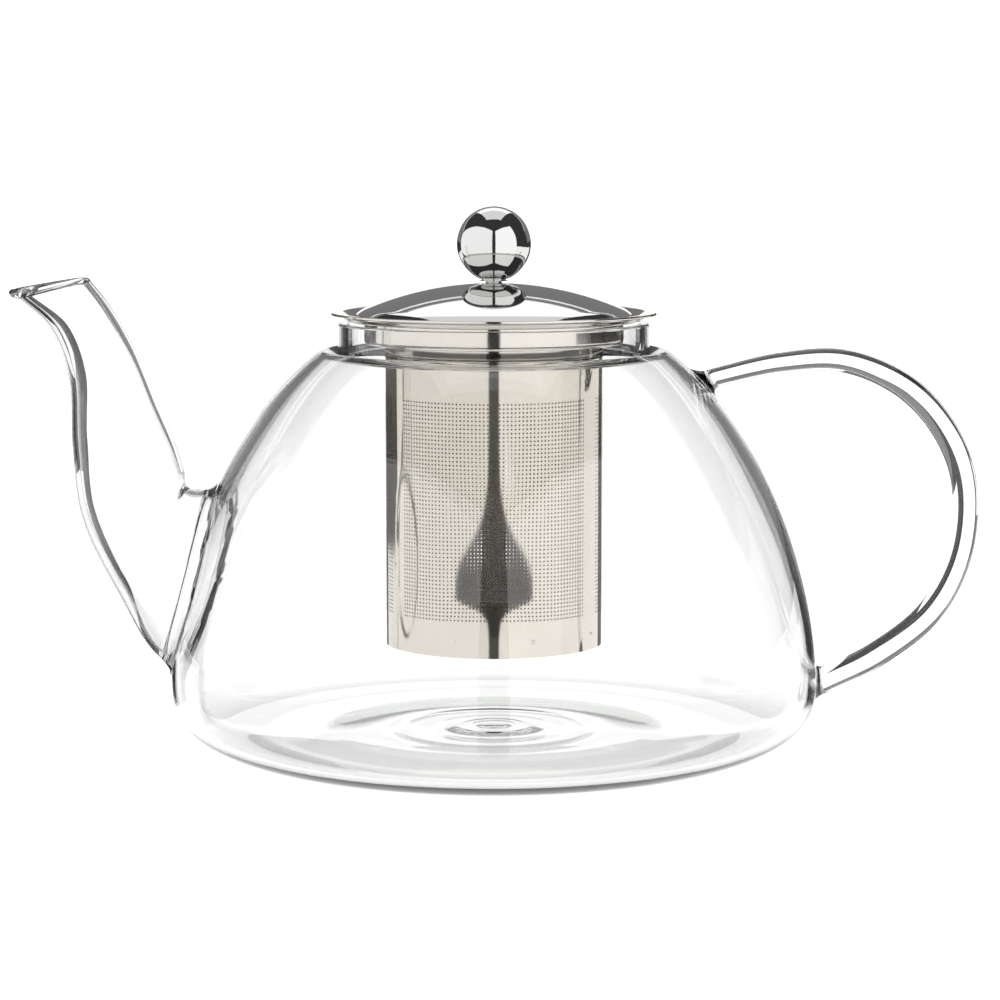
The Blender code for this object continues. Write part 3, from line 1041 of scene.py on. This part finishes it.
def make_knob(material):
    """A polished ball on a short neck, bored for the screw."""
    radius = KNOB_HIGH.x
    centre = KNOB_HIGH.z - radius
    foot = KNOB_LOW.z
    neck_foot = (KNOB_NECK_R, foot + STUB)
    ball = arc((0.0, centre), radius, -0.5 * pi + KNOB_NECK_OPENING, 0.5 * pi, 60)[:-1]
    throat = bend((KNOB_NECK_R, foot), neck_foot, ball[0], ball[1], 8)[:-1]
    bore_top = SCREW_HIGH.z + KNOB_GAP
    bore = [(0.0, bore_top), (KNOB_BORE_R, bore_top), (KNOB_BORE_R, foot)]
    flange = (KNOB_NECK_R + KNOB_FLANGE, foot)
    profile = [*bore, flange, neck_foot, *throat, *ball, (0.0, centre + radius)]
    knob = revolve("ball", profile, material, SMALL_SIDES)
    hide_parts("ball_knob")
    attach(knob, "lid")


def make_screw(material):
    """A cross-slotted pan head below the lid, and the shank that goes up into the knob."""
    head_r = SCREW_HIGH.x
    low = SCREW_LOW.z
    head_top = low + SCREW_HEAD
    corners = [
        ((0.0, low), 0.0),
        ((head_r - SCREW_CHAMFER, low + 0.0001), 0.0004),
        ((head_r, low + SCREW_CHAMFER), 0.0004),
        ((head_r, head_top), 0.0001),
        ((SCREW_R, head_top), 0.0002),
        ((SCREW_R, SCREW_HIGH.z), 0.0003),
        ((0.0, SCREW_HIGH.z), 0.0),
    ]
    outline, sizes = zip(*corners)
    screw = revolve("lid_screw", soften(outline, sizes), material, SCREW_SIDES)
    for turn in (0.0, 0.5 * pi):
        slot = box_object("slot", SCREW_SLOT, material)
        slot.matrix_world = Matrix.Translation((0, 0, low)) @ Matrix.Rotation(turn, 4, "Z")
        combine(screw, slot, "DIFFERENCE")
    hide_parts("knob_screw")
    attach(screw, "lid")


def box_object(name, size, material):
    x, y, z = (0.5 * s for s in size)
    verts = [(a, b, c) for a in (-x, x) for b in (-y, y) for c in (-z, z)]
    faces = [(0, 1, 3, 2), (4, 6, 7, 5), (0, 4, 5, 1), (2, 3, 7, 6), (0, 2, 6, 4), (1, 5, 7, 3)]
    return outward(new_object(name, verts, faces, material))


# ---------------------------------------------------------------- studio
def make_camera():
    data = bpy.data.cameras.new("camera")
    data.lens = CAMERA_LENS
    data.sensor_width = CAMERA_SENSOR
    data.clip_start = 0.01
    data.clip_end = 20.0
    camera = bpy.data.objects.new("camera", data)
    camera.location = AIM - LOOK * CAMERA_DISTANCE
    camera.rotation_euler = (0.5 * pi - CAMERA_PITCH, 0.0, 0.0)
    bpy.context.scene.collection.objects.link(camera)
    bpy.context.scene.camera = camera
    bpy.context.view_layer.update()
    return camera


def glow(name, strength):
    """A plain white light for a card of the studio."""
    material = bpy.data.materials.new(name)
    material.use_nodes = True
    tree = material.node_tree
    tree.nodes.remove(tree.nodes["Principled BSDF"])
    light = tree.nodes.new("ShaderNodeEmission")
    light.inputs["Color"].default_value = (1.0, 1.0, 1.0, 1.0)
    light.inputs["Strength"].default_value = strength
    tree.links.new(light.outputs["Emission"], tree.nodes["Material Output"].inputs["Surface"])
    return material


def stage_card(name, corners, material, camera):
    """A flat card of the studio, fixed to the camera stand as round a turntable."""
    mesh = bpy.data.meshes.new(name)
    mesh.from_pydata([tuple(c) for c in corners], [], [tuple(range(len(corners)))])
    mesh.materials.append(material)
    card = bpy.data.objects.new(name, mesh)
    bpy.context.scene.collection.objects.link(card)
    card.parent = camera
    card.matrix_parent_inverse = camera.matrix_world.inverted()


def around(azimuth, distance, height):
    """A point around the vessel; azimuth 0 is towards the camera, positive to its right."""
    a = radians(azimuth)
    return Vector((distance * sin(a), -distance * cos(a), height))


def stage_board(name, facing, distance, start, end, low, high, material, camera):
    """An upright board square to one azimuth, filling the view between two others."""
    a, b = (around(azimuth, distance / cos(radians(azimuth - facing)), 0.0)
            for azimuth in (start, end))
    foot, head = Vector((0.0, 0.0, low)), Vector((0.0, 0.0, high))
    stage_card(name, [a + foot, b + foot, b + head, a + head], material, camera)


def make_back_card(camera):
    """The white card that fills the view behind the vessel; it is what shows through the glass."""
    reach = CAMERA_DISTANCE + CARD_BEHIND
    middle = camera.location + LOOK * reach
    high = 0.5 * CAMERA_SENSOR / CAMERA_LENS * reach * CARD_MARGIN
    wide = CARD_BEHIND * tan(radians(CARD_SPREAD))
    side = Vector((1.0, 0.0, 0.0))
    corners = [middle + x * wide * side + y * high * CAMERA_UP
               for x, y in ((-1, -1), (1, -1), (1, 1), (-1, 1))]
    stage_card("back_card", corners, glow("back_light", CARD_GLOW), camera)


def make_studio(camera):
    """White boards either side of a slit for the lens, a card behind, and lamps overhead."""
    make_back_card(camera)
    for name, light, facing, distance, start, end, low, high, strength in BOARDS:
        material = glow(light, strength)
        stage_board(name, facing, distance, start, end, low, high, material, camera)
    for name, light, (near_x, near_y), (far_x, far_y), strength in LAMPS:
        corners = [Vector((x, y, CEILING)) for x, y in (
            (-near_x, near_y), (near_x, near_y), (far_x, far_y), (-far_x, far_y))]
        stage_card(name, corners, glow(light, strength), camera)
    make_floor()
    make_room()


def make_room():
    """The dark room round the lights."""
    world = bpy.data.worlds.new("room")
    bpy.context.scene.world = world
    world.use_nodes = True
    background = world.node_tree.nodes["Background"]
    background.inputs["Color"].default_value = (0.98, 0.98, 1.0, 1.0)
    background.inputs["Strength"].default_value = ROOM_GLOW


def make_floor():
    """A white table top that glows softly, as an overexposed white table does."""
    material, _, shader = node_material("white_table")
    shader.inputs["Base Color"].default_value = (0.40, 0.40, 0.40, 1.0)
    shader.inputs["Roughness"].default_value = 0.9
    shader.inputs["Specular IOR Level"].default_value = 0.0
    shader.inputs["Emission Color"].default_value = (1.0, 1.0, 1.0, 1.0)
    shader.inputs["Emission Strength"].default_value = TABLE_GLOW
    turns = [tau * i / SMALL_SIDES for i in range(SMALL_SIDES)]
    verts = [(TABLE_R * cos(t), TABLE_R * sin(t), TABLE_Z) for t in turns]
    new_object("floor", verts, [tuple(range(SMALL_SIDES))], material)


def render_look():
    """Plain colours, and enough bounces for light to cross several walls of glass."""
    scene = bpy.context.scene
    scene.view_settings.view_transform = "Standard"
    scene.view_settings.look = "None"
    scene.cycles.max_bounces = 24
    scene.cycles.transmission_bounces = 20
    scene.cycles.glossy_bounces = 10
    scene.cycles.transparent_max_bounces = 24
    scene.cycles.caustics_reflective = False
    scene.cycles.caustics_refractive = False


camera = make_camera()
make_studio(camera)
render_look()

make_vessel(glass("blown_glass"))
tube_steel = steel("strainer_steel", (0.74, 0.69, 0.62), 0.04, 0.08)
make_tube(tube_steel)
make_spot_welds(tube_steel)
make_disc(steel("bottom_steel", (0.66, 0.64, 0.60), 0.16, 0.28))
make_collar(steel("rim_steel", (0.76, 0.72, 0.67), 0.05, 0.10))
make_lid(steel("cover_steel", (0.74, 0.74, 0.73), 0.03, 0.07))
make_ring(steel("inner_ring_steel", (0.66, 0.65, 0.63), 0.14, 0.24))
make_knob(steel("ball_steel", (0.76, 0.76, 0.755), 0.015, 0.035))
make_screw(steel("screw_head_steel", (0.58, 0.58, 0.57), 0.20, 0.32))
